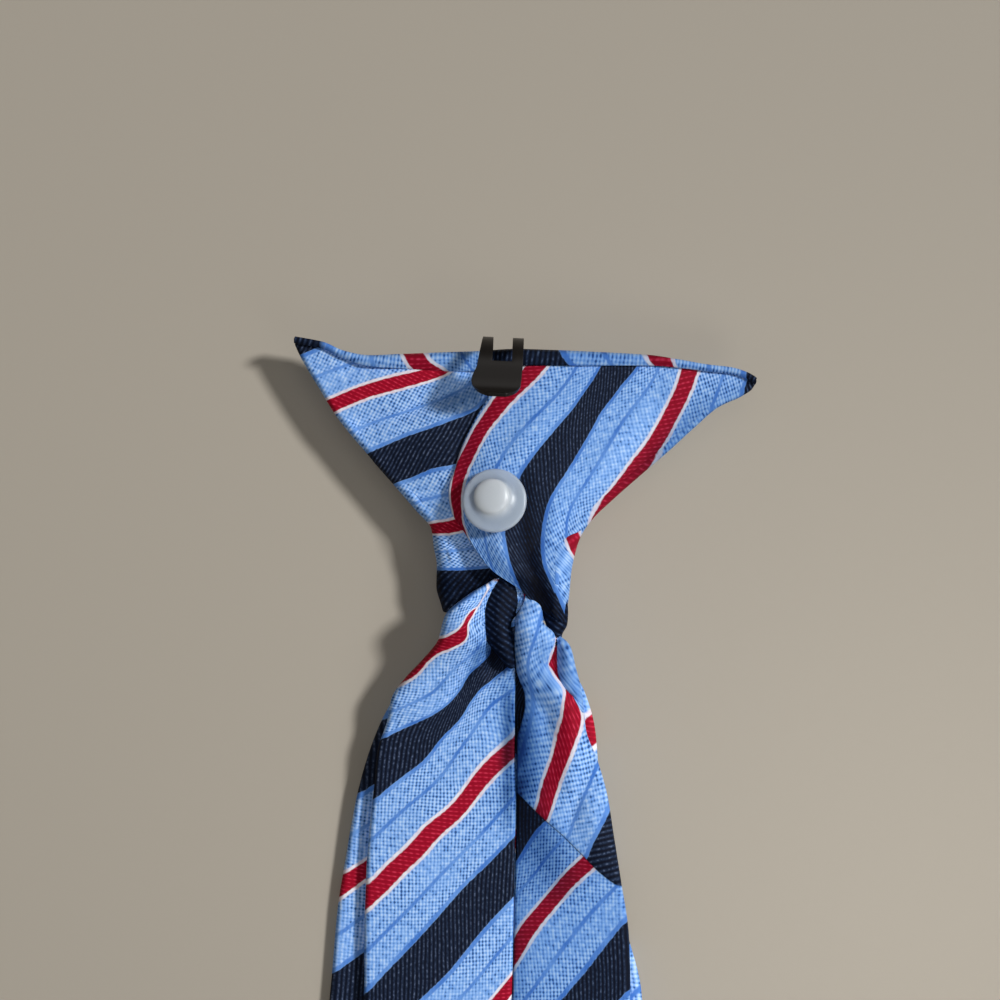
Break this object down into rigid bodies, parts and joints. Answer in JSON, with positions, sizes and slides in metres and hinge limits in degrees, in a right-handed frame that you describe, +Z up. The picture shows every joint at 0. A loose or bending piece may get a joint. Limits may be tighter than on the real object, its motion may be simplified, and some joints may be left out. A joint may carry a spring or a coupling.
{
  "type": "clip on tie",
  "caption": "Pre-tied striped necktie with a winged knot, a sheet-steel clip and a plastic stud at its back, lying face down.",
  "frame": {"origin": "bottom centre of the part's box, on the surface that the tie lies on face down", "axes": "+Y along the tie towards the top of the knot, +X to the right as seen from the back of the tie, +Z up from the surface, out of the back of the tie"},
  "size_m": [0.0906, 0.4614, 0.0226],
  "materials": {
    "cloth": "light blue basket weave with navy, red and white diagonal stripes",
    "clip_steel": "black satin",
    "stud_plastic": "milky translucent"
  },
  "bodies": {
    "root": {"knot_wrap": "cloth", "top_fold": "cloth", "front_blade": "cloth", "tail_blade": "cloth", "clip": "clip_steel", "stud": "stud_plastic"}
  },
  "joints": []
}
